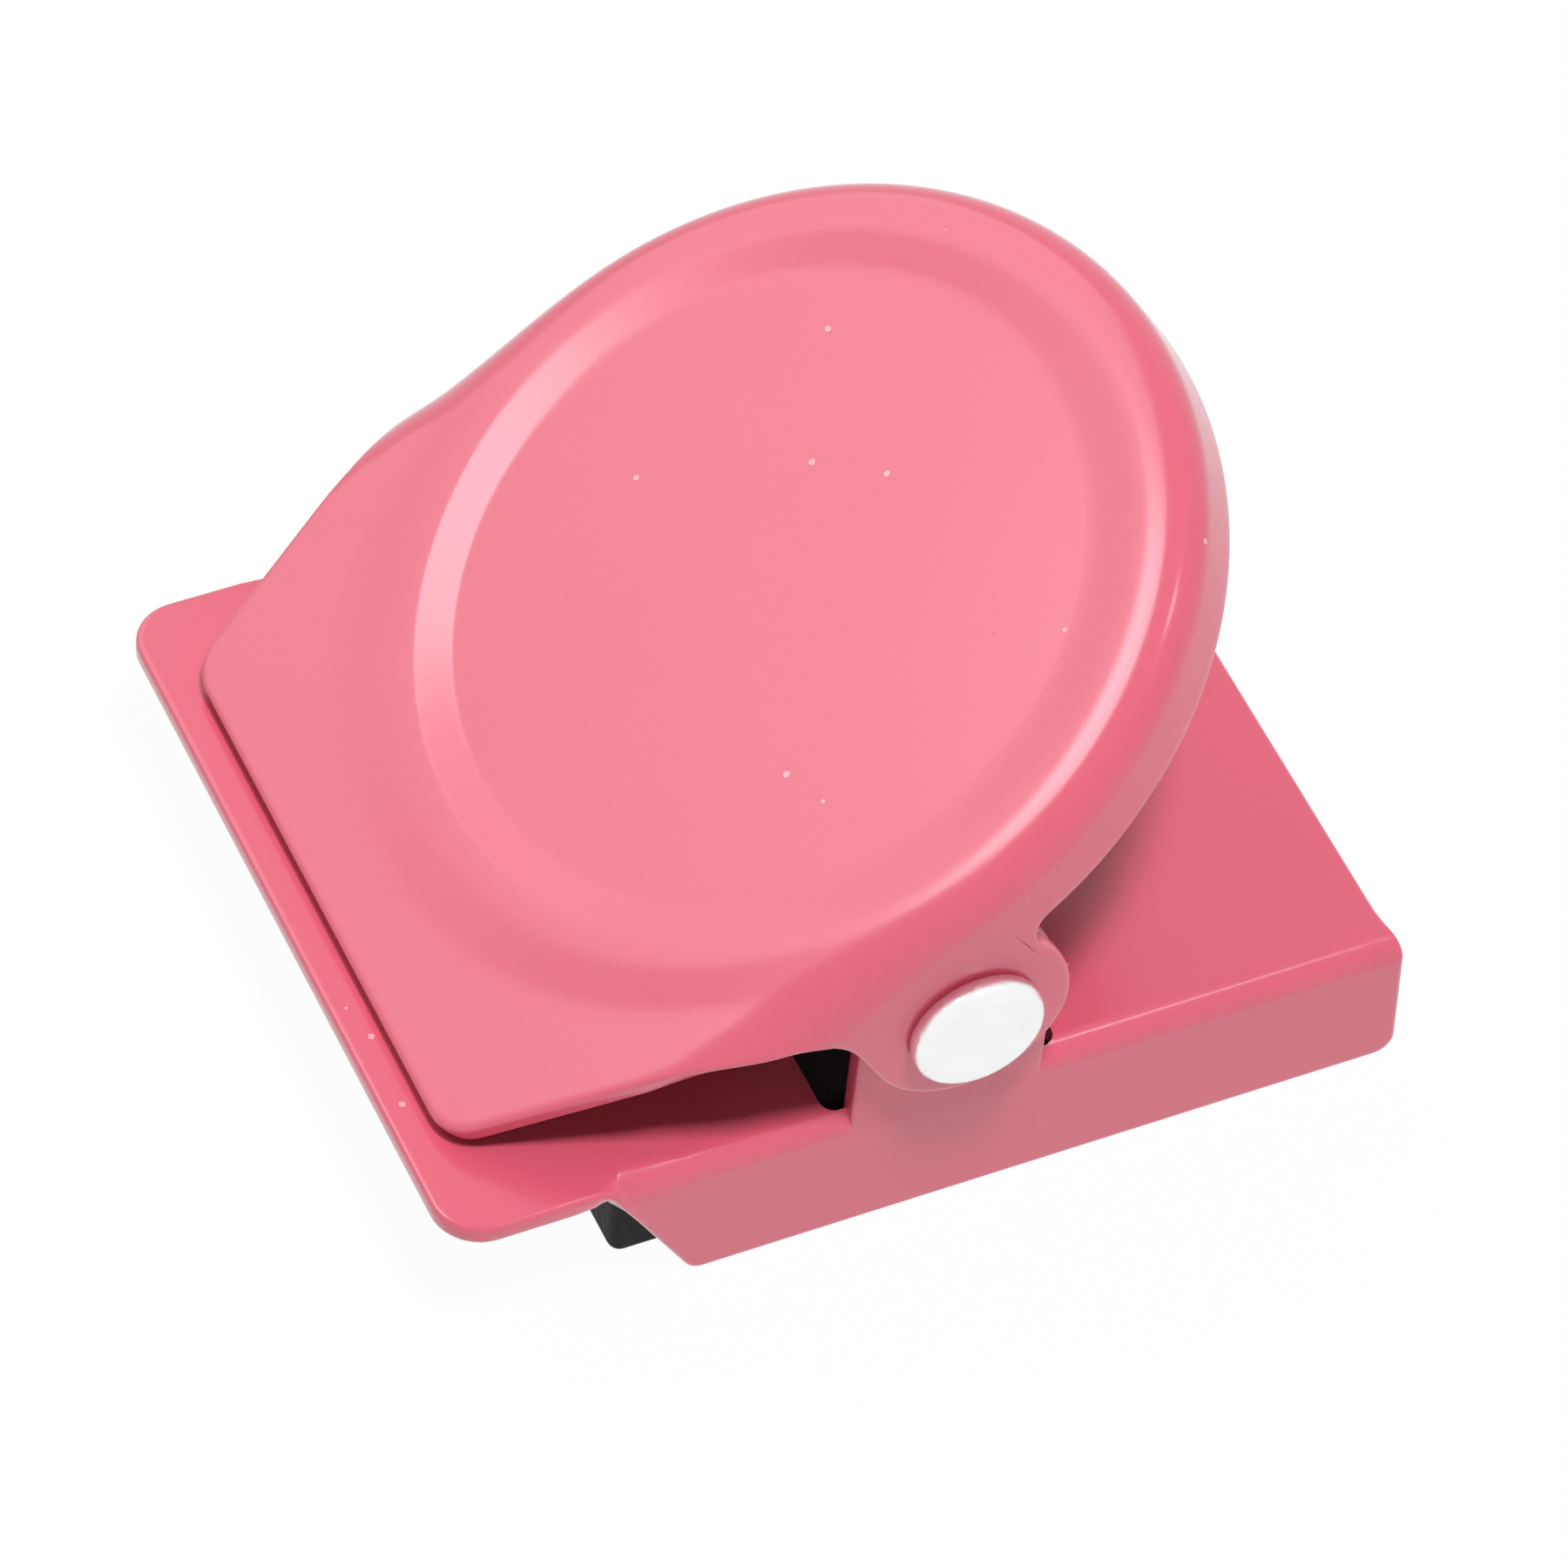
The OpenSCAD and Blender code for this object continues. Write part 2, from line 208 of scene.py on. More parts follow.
pale_speck = dots(2.4, 0.05, 0.57)
dark_speck = dots(4.3, 0.024, 0.55)
PINK = (0.71, 0.112, 0.178, 1)
PINK_DEEP = (0.66, 0.09, 0.148, 1)
PINK_PALE = (0.9, 0.45, 0.5, 1)
PINK_INSIDE_SHADE = (0.34, 0.055, 0.07, 1)
SPECK_DARK = (0.32, 0.09, 0.1, 1)
coat = mix_colour(tree, clouds * 0.55 + grain * 0.35, PINK_DEEP, PINK)
# The inner faces, marked by the attribute inside, take a darker colour: this is painted shade.
inside = Tap.node(tree, "ShaderNodeAttribute", {"attribute_name": "inside"}, output="Fac")
coat = mix_colour(tree, inside * (0.75 + clouds * 0.2), coat, PINK_INSIDE_SHADE)
coat = mix_colour(tree, pale_speck * 0.75, coat, PINK_PALE)
coat = mix_colour(tree, dark_speck * 0.7, coat, SPECK_DARK)
feed(tree, coat, shader, "Base Color")
feed(tree, 0.31 + clouds * 0.05 + grain * 0.04, shader, "Roughness")
feed(tree, bump(tree, grain + pale_speck * 6, 0.0018), shader, "Normal")
shader.inputs["Specular IOR Level"].default_value = 0.2
shader.inputs["Coat Weight"].default_value = 1.0
shader.inputs["Coat Roughness"].default_value = 0.19
print("paint nodes:", len(tree.nodes))

# %% [markdown]
# ## Bare metals, ferrite and adhesive
# The rivet is tumbled and plated, so it is bright with faint scuffs. The spring is drawn wire,
# greyer and rougher. The magnet is pressed ferrite powder: nearly black, dull and grainy. The
# bond is a smear of dark adhesive that hardly anyone will ever see. One grey could serve the two
# metals, but noise in colour, roughness and normal tells a plated face from a drawn one.

# %% Bare metals, ferrite and adhesive
plated, tree, shader, place = new_finish("plated_rivet_steel")
haze = noise(tree, place, 1.1, 3)
scuffs = noise(tree, place, 0.3, 4)
feed(tree, mix_colour(tree, haze * 0.7, (0.97, 0.975, 0.98, 1), (0.84, 0.85, 0.86, 1)),
     shader, "Base Color")
feed(tree, 0.2 + scuffs * 0.22, shader, "Roughness")
feed(tree, bump(tree, scuffs + haze * 2, 0.02), shader, "Normal")
shader.inputs["Metallic"].default_value = 1

wire, tree, shader, place = new_finish("drawn_spring_wire")
drawn = noise(tree, place, 0.25, 3)
feed(tree, mix_colour(tree, drawn, (0.42, 0.43, 0.45, 1), (0.62, 0.63, 0.65, 1)),
     shader, "Base Color")
feed(tree, 0.3 + drawn * 0.2, shader, "Roughness")
feed(tree, bump(tree, drawn, 0.01), shader, "Normal")
shader.inputs["Metallic"].default_value = 1

ferrite, tree, shader, place = new_finish("pressed_ferrite")
powder = noise(tree, place, 0.35, 4)
chips = cells(tree, place, 1.6) < 0.12
feed(tree, mix_colour(tree, powder, (0.006, 0.006, 0.0065, 1), (0.018, 0.018, 0.019, 1)),
     shader, "Base Color")
feed(tree, 0.5 + powder * 0.25, shader, "Roughness")
feed(tree, bump(tree, powder - chips * 0.5, 0.05), shader, "Normal")
shader.inputs["Specular IOR Level"].default_value = 0.2

bond, tree, shader, place = new_finish("dark_adhesive")
ripple = noise(tree, place, 1.4, 3)
feed(tree, mix_colour(tree, ripple, (0.03, 0.026, 0.022, 1), (0.06, 0.052, 0.045, 1)),
     shader, "Base Color")
feed(tree, 0.35 + ripple * 0.3, shader, "Roughness")
feed(tree, bump(tree, ripple, 0.05), shader, "Normal")
print("four bare finishes made")

# %% [markdown]
# ## Growing a skin
# A press or a lathe shapes metal in rounds about a middle, and a mesh can follow it. Every piece
# here is a skin that is grown ring by ring: a ring of points is added, its edge is extruded, and
# the new edge is laid on the next ring, as it would be done by hand in edit mode. The first ring
# and the last one are filled. Sculpting could give much the same look, but rings keep every size
# exact.

# %% Growing a skin
def pick(piece):
    bpy.ops.object.select_all(action="DESELECT")
    piece.select_set(True)
    bpy.context.view_layer.objects.active = piece


def fill_ring(piece, indices):
    bpy.ops.object.mode_set(mode="EDIT")
    bpy.ops.mesh.select_all(action="DESELECT")
    bpy.ops.object.mode_set(mode="OBJECT")
    for index in indices:
        piece.data.vertices[index].select = True
    bpy.ops.object.mode_set(mode="EDIT")
    bpy.ops.mesh.edge_face_add()
    bpy.ops.object.mode_set(mode="OBJECT")


def grow(name, rings):
    bpy.ops.object.select_all(action="DESELECT")
    bpy.ops.mesh.primitive_circle_add(vertices=len(rings[0]), radius=MM, fill_type="NOTHING")
    piece = bpy.context.object
    piece.name = name
    border = list(range(len(rings[0])))
    for vertex, point in zip(piece.data.vertices, rings[0]):
        vertex.co = Vector(point) * MM
    for ring in rings[1:]:
        column = {tuple(piece.data.vertices[index].co): k for k, index in enumerate(border)}
        bpy.ops.object.mode_set(mode="EDIT")
        bpy.ops.mesh.extrude_region_move()
        bpy.ops.object.mode_set(mode="OBJECT")
        border = [0] * len(ring)
        for vertex in piece.data.vertices:
            if vertex.select:
                k = column[tuple(vertex.co)]
                border[k] = vertex.index
        for k, index in enumerate(border):
            piece.data.vertices[index].co = Vector(ring[k]) * MM
    fill_ring(piece, range(len(rings[0])))
    fill_ring(piece, border)
    bpy.ops.object.mode_set(mode="EDIT")
    bpy.ops.mesh.select_all(action="SELECT")
    bpy.ops.mesh.normals_make_consistent(inside=False)
    bpy.ops.object.mode_set(mode="OBJECT")
    return piece


print("a skin can be grown from rings")

# %% [markdown]
# ## Cutting, softening and dressing
# Holes are bored and tabs are joined on with booleans, and sharp edges are broken with a bevel, as
# a file would break them. The modifiers could stay live, but the next cut needs their result, so
# each is applied at once. Dressing a piece gives it its finish and smooth shading, hides the CAD
# node that it stands for, and hangs it on an empty for the body that it rides on, if it has one.

# %% Cutting, softening and dressing
BREAK_ANGLE = math.radians(50)
SMOOTH_ANGLE = math.radians(40)


def work(piece, kind, **settings):
    pick(piece)
    step = piece.modifiers.new(kind.lower(), kind)
    for key, value in settings.items():
        setattr(step, key, value)
    bpy.ops.object.modifier_apply(modifier=step.name)


def soften(piece, radius_mm):
    work(piece, "BEVEL", width=radius_mm * MM, segments=3, limit_method="ANGLE",
         angle_limit=BREAK_ANGLE, miter_outer="MITER_ARC")


def trim(piece, tool, operation):
    work(piece, "BOOLEAN", operation=operation, object=tool, solver="EXACT")
    bpy.data.objects.remove(tool)


def dress(piece, finish, body, node):
    pick(piece)
    bpy.ops.object.transform_apply(location=True, rotation=True, scale=True)
    bpy.ops.object.shade_smooth_by_angle(angle=SMOOTH_ANGLE)
    piece.data.materials.clear()
    piece.data.materials.append(finish)
    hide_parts(node)
    if body:
        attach(piece, body)
    print(piece.name, "has", len(piece.data.polygons), "faces")


print("pieces can be cut, softened and dressed")

# %% [markdown]
# ## Pressing a sheet
# Both painted pieces are sheet steel of one thickness. A Solidify modifier could thicken a
# surface, but it leaves square edges, and paint always rounds them. So a sheet grows from rings
# too: over its outer face to the edge, round the edge, and back over its inner face, which lies
# one thickness below the outer one. Only the near half is worked out, and it is mirrored.

# %% Pressing a sheet
def both_sides(half):
    """A ring from its half on the near side, which starts and ends on the middle plane."""
    half = np.asarray(half)
    far = half[-2:0:-1] * (-1, 1, 1)
    return np.vstack((half, far))


def inward_ways(outline):
    """Unit vectors to the inside of a half outline that runs from the front to the rear."""
    along = np.gradient(outline, axis=0)
    ways = np.stack((-along[:, 1], along[:, 0]), 1)
    ways[0], ways[-1] = (0, 1), (0, -1)
    return ways / np.linalg.norm(ways, axis=1, keepdims=True)


EDGE_R = 0.2
EDGE_ANGLES = np.radians((22.5, 45, 67.5, 90))
STEP = 0.01


def press(name, wrap_point, flats, outline, sheet):
    """A sheet with rounded edges from rings of its flat blank and the blank's outline."""
    ways = inward_ways(outline)
    outer, under, lower_edge = [], [], []
    for flat in flats + [outline + ways * EDGE_R]:
        x, y = flat.T
        normal = np.cross(wrap_point(x + STEP, y) - wrap_point(x - STEP, y),
                          wrap_point(x, y + STEP) - wrap_point(x, y - STEP))
        normal /= np.linalg.norm(normal, axis=1, keepdims=True)
        outer.append(wrap_point(x, y))
        under.append(outer[-1] - normal * sheet)
    last, last_under = outer[-1], under[-1]
    out = (wrap_point(*(outline + ways * (EDGE_R - STEP)).T)
           - wrap_point(*(outline + ways * (EDGE_R + STEP)).T))
    out /= np.linalg.norm(out, axis=1, keepdims=True)
    for a in EDGE_ANGLES:
        shift = out * EDGE_R * math.sin(a)
        drop = normal * EDGE_R * (1 - math.cos(a))
        outer.append(last + shift - drop)
        lower_edge.append(last_under + shift + drop)
    halves = outer + lower_edge[::-1] + under[::-1]
    for half in halves:
        half[[0, -1], 0] = 0
    piece = grow(name, [both_sides(half) for half in halves])
    # Points of the inner face are marked with the attribute inside, where the paint puts painted
    # shade.
    inside = piece.data.attributes.new("inside", "FLOAT", "POINT")
    count = 2 * len(outline) - 2
    for index, value in enumerate(inside.data):
        value.value = 1 if index // count >= len(outer) + len(lower_edge) else 0
    return piece


print("sheet edges have a radius of", EDGE_R, "mm")

# %% [markdown]
# ## Handle
# The handle starts as a flat blank. A press sinks the round thumb pad and raises a bead round
# it, and then the sides and the rear are bent down: the sides end in ears for the rivet, and the
# rear in a low rim. It could be shaped by eye with a subdivided mesh, but then the sheet would not
# keep its thickness. So the shape is worked out as the press does it. One function gives the
# height of the pressed face: the bead's slopes are straight at the front, and softer and wider
# round the rear. A second one wraps whatever lies past the bend's start round the bend and down
# the wall, with a soft shoulder where the nose runs into the pad.

# %% Handle: the press and the bend
HANDLE_SHEET = 0.8
PAD_Y = 2.3
NOSE_TOP = 5.55
DISH = NOSE_TOP - 0.12
CREST = NOSE_TOP + 0.18
WALL = 15.9
BEND = 1.15
SHOULDER_SOFT = 0.85
SHOULDER_RUN = 7.0
DISH_R = 12.05
CREST_R = 13.65
RIM_R = 14.0
APRON_R = 15.6
NOSE_APRON = 1.6
APRON_EASE = 1.25
INNER_SOFT = 0.45
OUTER_SOFT = 0.85
REAR_TURN = 0.7
REAR_DROP = 0.03
REAR_IN = 0.3
REAR_OUT = 0.45
REAR_SOFT = 0.35
TINY = 1e-9
SLOPE_STEP = 0.001


def ease(share):
    """A share from 0 to 1 that starts and ends gently."""
    return share * share * (3 - 2 * share)


def slope(along, run, rise, softness):
    """Height of a bead's slope at a distance from its foot: a straight rise between two arcs."""
    arc_r = softness * (run ** 2 + rise ** 2) / (4 * rise)
    tilt = (np.arctan2(rise - 2 * arc_r, run)
            + np.arcsin(2 * arc_r / np.hypot(rise - 2 * arc_r, run)))
    reach = arc_r * np.sin(tilt)
    low = arc_r - np.sqrt(np.maximum(arc_r ** 2 - along ** 2, 0))
    high = rise - arc_r + np.sqrt(np.maximum(arc_r ** 2 - (run - along) ** 2, 0))
    middle = arc_r * (1 - np.cos(tilt)) + (along - reach) * np.tan(tilt)
    return np.where(along < reach, low, np.where(along > run - reach, high, middle))


def pressed(r, ahead):
    """Height of the pressed face, at a radius and a distance behind the middle of the pad."""
    turn = ahead / np.maximum(r, TINY)
    rear = ease(np.clip(1 + turn / REAR_TURN, 0, 1))
    crest = CREST - REAR_DROP * rear
    foot = DISH_R - REAR_IN * rear
    top = CREST_R + REAR_OUT * rear
    rim = np.maximum(RIM_R, top)
    apron = APRON_R + NOSE_APRON * np.clip(-turn, 0, 1) ** APRON_EASE
    inner = DISH + slope(np.clip(r - foot, 0, None), top - foot, crest - DISH,
                         INNER_SOFT + REAR_SOFT * rear)
    outer = NOSE_TOP + slope(np.clip(apron - r, 0, None), apron - rim, crest - NOSE_TOP,
                             OUTER_SOFT)
    return np.where(r < foot, DISH, np.where(r < top, inner, np.where(r < rim, crest, outer)))


def bend_at(y):
    """The bend beside the pad: where it starts, its height and slope there, and its radius."""
    ahead = np.minimum(y - PAD_Y, 0)
    begin = WALL - BEND - SHOULDER_SOFT * ease(np.clip(-ahead / SHOULDER_RUN, 0, 1))
    r = np.hypot(begin, ahead)
    drop = pressed(r, ahead) - pressed(r + SLOPE_STEP, ahead)
    fall = drop / SLOPE_STEP * begin / r
    lean = np.arctan(fall)
    return begin, pressed(r, ahead), lean, (WALL - begin) / (1 - np.sin(lean))


def wrap(x, y):
    """Where a point of the flat blank ends up when the sides and the rear are bent down."""
    ahead = y - PAD_Y
    behind = ahead > 0
    r = np.hypot(x, ahead)
    reach = np.where(behind, r, x)
    begin, start, lean, radius = bend_at(y)
    past = np.clip(reach - begin, 0, None)
    turned = np.minimum(past, radius * (math.pi / 2 - lean))
    angle = lean + turned / radius
    out = begin + radius * (np.sin(angle) - np.sin(lean))
    z = np.where(past > 0, start - radius * (np.cos(lean) - np.cos(angle)) - (past - turned),
                 pressed(r, ahead))
    out = np.where(past > 0, out, reach)
    share = np.where(behind, out / np.maximum(r, TINY), 1)
    return np.stack((np.where(behind, x * share, out),
                     np.where(behind, PAD_Y + ahead * share, y), z), -1)


def unwrap_wall(y, z):
    """The blank's point for a place on the bend or the wall, seen from the side."""
    turn = np.arcsin(np.clip((y - PAD_Y) / WALL, 0, 1))
    begin, start, lean, radius = bend_at(y)
    foot = start - radius * np.cos(lean)
    angle = np.arccos(np.clip(np.cos(lean) - (start - z) / radius, 0, 1))
    on_wall = radius * (math.pi / 2 - lean) + foot - z
    reach = begin + np.where(z < foot, on_wall, radius * (angle - lean))
    blank_y = np.where(turn > 0, PAD_Y + reach * np.sin(turn), y)
    return np.stack((reach * np.cos(turn), blank_y), -1)


print("bend radius beside the pad:", round(float(bend_at(np.array(PAD_Y))[3]), 2), "mm")

# %% [markdown]
# The blank's outline is drawn next, from straight runs and arcs as on a press tool's drawing. The
# near half is enough. First come the nose, its corner, and the flare that runs out over the bend.

# %% Handle: the front of the blank
def arc(middle, radius, start, end, steps):
    turn = np.radians(np.linspace(start, end, steps + 1))
    return np.stack((middle[0] + radius * np.cos(turn), middle[1] + radius * np.sin(turn)), 1)


def line(start, end, steps):
    return np.linspace(start, end, steps + 1)


NOSE_HALF = 11.3
NOSE_CORNER = 1.8
FLARE = 21.8
SHOULDER_X = 13.9
FLARE_X = WALL - 0.1
TIP_RUN = 17.05
TIP_DROP = 4.8
HANDLE_RISE = NOSE_TOP - HANDLE_SHEET
NOSE_REACH = math.sqrt(TIP_RUN ** 2 + TIP_DROP ** 2 - HANDLE_RISE ** 2)
HANDLE_LEAN = math.atan2(TIP_DROP, TIP_RUN) + math.atan2(HANDLE_RISE, NOSE_REACH)

corner_run = NOSE_CORNER / math.tan(math.radians(45 + FLARE / 2))
corner_middle = (NOSE_HALF - corner_run, -NOSE_REACH + NOSE_CORNER)
nose_edge = line((0, -NOSE_REACH), (corner_middle[0], -NOSE_REACH), 16)
nose_corner = arc(corner_middle, NOSE_CORNER, -90, -FLARE, 8)
flare_way = math.tan(math.radians(FLARE))
flare_x = np.concatenate((np.linspace(nose_corner[-1][0], SHOULDER_X, 12),
                          np.linspace(SHOULDER_X, FLARE_X, 12)[1:]))
flare_y = nose_corner[-1][1] + (flare_x - nose_corner[-1][0]) / flare_way
begin, start, lean, radius = bend_at(flare_y)
angle = np.arcsin(np.clip(np.sin(lean) + np.clip(flare_x - begin, 0, None) / radius, 0, 1))
flare_edge = np.stack((np.where(flare_x > begin, begin + radius * (angle - lean), flare_x),
                       flare_y), 1)
print("front points:", len(nose_edge) + len(nose_corner) + len(flare_edge) - 2,
      "- the handle leans by", round(math.degrees(HANDLE_LEAN), 2), "degrees")

# %% [markdown]
# The rest of the outline is drawn as it looks from the side, on the finished wall, and is then
# unrolled onto the blank: a fillet, the ear round the rivet, a second fillet, and the rim to the
# rear. The place where the flare meets the first fillet is smoothed.

# %% Handle: the ear and the rim
EAR_R = 3.75
EAR_NECK = 3.4
EAR_END = 376
RIM_Z = 2.4
SHOULDER_Z = 4.5
FRONT_FILLET = 2.6
REAR_FILLET = 1.0
FILLET_STEPS, NECK_STEPS, EAR_STEPS = 12, 5, 34
SMOOTH_ROUNDS = 12
SMOOTH_REACH = 7

fillet_start = math.degrees(math.acos((flare_y[-1] + EAR_R + FRONT_FILLET) / FRONT_FILLET))
fillet_z = SHOULDER_Z - FRONT_FILLET
neck_turn = math.degrees(math.atan2(RIM_Z, EAR_R - EAR_NECK))
ear_side = np.vstack((
    arc((-EAR_R - FRONT_FILLET, fillet_z), FRONT_FILLET, fillet_start, 0, FILLET_STEPS),
    line((-EAR_R, fillet_z), (-EAR_R, 0), NECK_STEPS)[1:],
    arc((0, 0), EAR_R, 180, EAR_END, EAR_STEPS)[1:]))
rear_y = EAR_NECK + REAR_FILLET / math.tan(math.radians(neck_turn / 2))
rear_fillet = arc((rear_y, RIM_Z - REAR_FILLET), REAR_FILLET, 270 - neck_turn, 90, 10)
rim_turn = math.degrees(math.asin((rear_y - PAD_Y) / WALL))
rim_y = PAD_Y + WALL * np.sin(np.radians(np.linspace(rim_turn, 90, 40)))[1:]
rim_side = np.stack((rim_y, np.full(len(rim_y), RIM_Z)), 1)
wall_edge = unwrap_wall(*np.vstack((ear_side, rear_fillet, rim_side)).T)
wall_edge[-1, 0] = 0
blank = np.vstack((nose_edge, nose_corner[1:], flare_edge[1:], wall_edge))

front_count = len(blank) - len(wall_edge)
for _ in range(SMOOTH_ROUNDS):
    near = slice(front_count - SMOOTH_REACH, front_count + SMOOTH_REACH)
    between = (np.roll(blank, 1, 0) + np.roll(blank, -1, 0)) / 2
    blank[near] += 0.5 * (between - blank)[near]
print("outline points on one side:", len(blank))

# %% [markdown]
# The rings go from the middle of the pad to the crest as plain circles, and from there along
# straight lines of the blank nearly to its outline. Each point of the outline is tied to a
# direction on the crest, so that these lines fan out without crossing. Round the ear the
# directions are set at a few points and shared out between them. A cylinder then bores the ears.

# %% Handle: the sheet
ray = np.degrees(np.arctan2(blank[:, 0], PAD_Y - blank[:, 1]))
ear_start = FILLET_STEPS + NECK_STEPS
ear_count = len(ear_side) + len(rear_fillet)
knots = {0: ray[front_count - 1] + 0.8, ear_start: 72, ear_start + EAR_STEPS // 2: 81,
         len(ear_side) - 4: 89.6, len(ear_side): 91.2, ear_count - 1: 90 + rim_turn}
ray[front_count:front_count + ear_count] = np.interp(
    np.arange(ear_count), list(knots), list(knots.values()))
turn = np.radians(ray)
fan = np.stack((np.sin(turn), -np.cos(turn)), 1)
PAD = np.array((0, PAD_Y))
PAD_RINGS = (2, 4, 6, 8, 9.5, 10.5)
ROWS = 30
EDGE_STRIP = EDGE_R + 0.25
flats = [PAD + fan * r
         for r in (*PAD_RINGS, *np.linspace(DISH_R - REAR_IN, DISH_R, 7)[:-1],
                   *np.linspace(DISH_R, CREST_R, 17),
                   *np.linspace(CREST_R, CREST_R + REAR_OUT, 5)[1:])]
crest = flats[-1]
border = blank + inward_ways(blank) * EDGE_STRIP
flats += [crest + (border - crest) * share for share in np.linspace(0, 1, ROWS + 1)[1:]]
handle = press("handle_pressing", wrap, flats, blank, HANDLE_SHEET)

PIVOT = Vector((0, 0.25, 10.9))
ROD_REACH = 18
HANDLE_BORE = 1.56


def pivot_rod(radius_mm):
    turn = np.linspace(0, 2 * math.pi, 64, endpoint=False)
    rings = [[(x, radius_mm * math.cos(a), radius_mm * math.sin(a)) for a in turn]
             for x in (-ROD_REACH, ROD_REACH)]
    return grow("rod", rings)


trim(handle, pivot_rod(HANDLE_BORE), "DIFFERENCE")
handle.rotation_euler.x = HANDLE_LEAN
handle.location = PIVOT * MM
dress(handle, paint, "handle", "handle")

# %% [markdown]
# ## Base
# The base is one pressing too: a flat top, a lip in front, and two side flanges bent down. A box
# with bevelled edges would do from afar, but its lip could not run into the flanges. So it is laid
# out as a blank like the handle. Where the lip passes into a flange the bend doesn't start at
# once: the sheet twists from flat to bent over a couple of millimetres, and a blend between the
# flat and the bent place of each point gives that twist.

# %% Base: the bend
BASE_SHEET = 0.8
BASE_HALF = 15.0
BASE_TOP = 6.05
BASE_BEND = 0.9
BASE_BEND_START = BASE_HALF - BASE_BEND
BASE_FRONT = -18.4
FLANGE_FRONT = BASE_FRONT + 6.2
TWIST = (FLANGE_FRONT - 1.2, FLANGE_FRONT + 0.9)


def wrap_base(x, y):
    past = np.clip(x - BASE_BEND_START, 0, None)
    turned = np.minimum(past, BASE_BEND * math.pi / 2)
    bent_x = np.minimum(x, BASE_BEND_START) + BASE_BEND * np.sin(turned / BASE_BEND)
    bent_z = BASE_TOP - BASE_BEND * (1 - np.cos(turned / BASE_BEND)) - (past - turned)
    share = ease(np.clip((y - TWIST[0]) / (TWIST[1] - TWIST[0]), 0, 1))
    return np.stack((x + (bent_x - x) * share, y, BASE_TOP + (bent_z - BASE_TOP) * share), -1)


print("the lip twists into the flange over", round(TWIST[1] - TWIST[0], 2), "mm")

# %% [markdown]
# The outline of this blank is a chain of corners, each rounded by its own radius: the lip, the
# step back to the flange, its raked front end and its rear end. The rear edge then climbs a slight
# ramp. The runs between the corners are cut into short steps, so that the sheet can bend there.

# %% Base: the outline of the blank
def round_corner(before, corner, after, radius, steps):
    """Points round a corner of an outline, from one side of it to the other."""
    before, corner, after = (np.array(point, float) for point in (before, corner, after))
    a = (before - corner) / np.linalg.norm(before - corner)
    b = (after - corner) / np.linalg.norm(after - corner)
    half = math.acos(np.clip(a @ b, -1, 1)) / 2
    middle = corner + (a + b) / np.linalg.norm(a + b) * radius / math.sin(half)
    start, end = (corner + way * radius / math.tan(half) - middle for way in (a, b))
    sweep = math.atan2(start[0] * end[1] - start[1] * end[0], start @ end)
    first = math.degrees(math.atan2(start[1], start[0]))
    return arc(middle, radius, first, first + math.degrees(sweep), steps)


BASE_REAR = 18.4
LIP_CORNER = 1.8
LIP_STEP = 0.25
RAKE_CORNER = 0.7
FLANGE_RAKE = 3.2
FLANGE_CORNER = 0.8
FLANGE_EDGE = BASE_BEND_START + BASE_BEND * math.pi / 2 + BASE_TOP - BASE_BEND
RAMP = ((15.7, -0.28), (12.9, -0.65))
RAMP_STEPS = 12
POINT_GAP = 0.9


def base_outline():
    """Points of the outline, and how many there are up to the end of each run."""
    lip_end = (BASE_HALF, FLANGE_FRONT - LIP_STEP)
    rake_end = (FLANGE_EDGE, FLANGE_FRONT + FLANGE_RAKE)
    ramp_start, ramp_end = ((x, BASE_REAR + back) for x, back in RAMP)
    corners = [((0, BASE_FRONT), (BASE_HALF, BASE_FRONT), lip_end, LIP_CORNER, 10),
               ((BASE_HALF, BASE_FRONT), lip_end, rake_end, RAKE_CORNER, 8),
               (lip_end, rake_end, (FLANGE_EDGE, BASE_REAR), FLANGE_CORNER, 8),
               (rake_end, (FLANGE_EDGE, BASE_REAR), ramp_start, FLANGE_CORNER, 8)]
    points = [np.array([(0, BASE_FRONT)])]
    ends = [0]

    def add(*runs):
        for run in runs:
            points.append(run[1:])
            ends.append(ends[-1] + len(run) - 1)

    for corner in corners:
        rounding = round_corner(*corner)
        way = np.linalg.norm(rounding[0] - points[-1][-1])
        steps = max(2, int(way / POINT_GAP))
        add(line(points[-1][-1], rounding[0], steps), rounding)
    ramp = line(ramp_start, ramp_end, RAMP_STEPS)
    climb = ease(np.linspace(0, 1, RAMP_STEPS + 1))
    ramp[:, 1] = ramp_start[1] + (ramp_end[1] - ramp_start[1]) * climb
    add(line(points[-1][-1], ramp_start, 8), ramp, line(ramp_end, (0, ramp_end[1]), 14))
    return np.vstack(points), ends


outline, corner_ends = base_outline()
print("base outline points on one side:", len(outline))

# %% [markdown]
# The inner ring of the base is a plain rectangle well inside the bends, filled with one flat
# face. The rings between it and the outline share out the distance, and each run of the outline
# has its own stretch of the rectangle, so that the mesh stays even round the corners.

# %% Base: the sheet
INNER_X, INNER_FRONT, INNER_REAR = 12.2, -16.0, 16.6
SIDE_END = INNER_X + INNER_REAR - INNER_FRONT
inner_ends = [0, 11.9, 12.6, 15.3, 16.6, 18.6, 20, 43, 43.7, 44.3, 45.3, SIDE_END + INNER_X]
walk = np.interp(np.arange(len(outline)), corner_ends, inner_ends)
inner = np.stack((np.clip(np.minimum(walk, SIDE_END + INNER_X - walk), 0, INNER_X),
                  INNER_FRONT + np.clip(walk - INNER_X, 0, SIDE_END - INNER_X)), 1)
BASE_ROWS = 34
BASE_STRIP = EDGE_R + 0.08
border = outline + inward_ways(outline) * BASE_STRIP
flats = [inner + (border - inner) * share for share in np.linspace(0, 1, BASE_ROWS + 1)]
base = press("base_pressing", wrap_base, flats, outline, BASE_SHEET)
print("base sheet has", len(base.data.polygons), "faces")

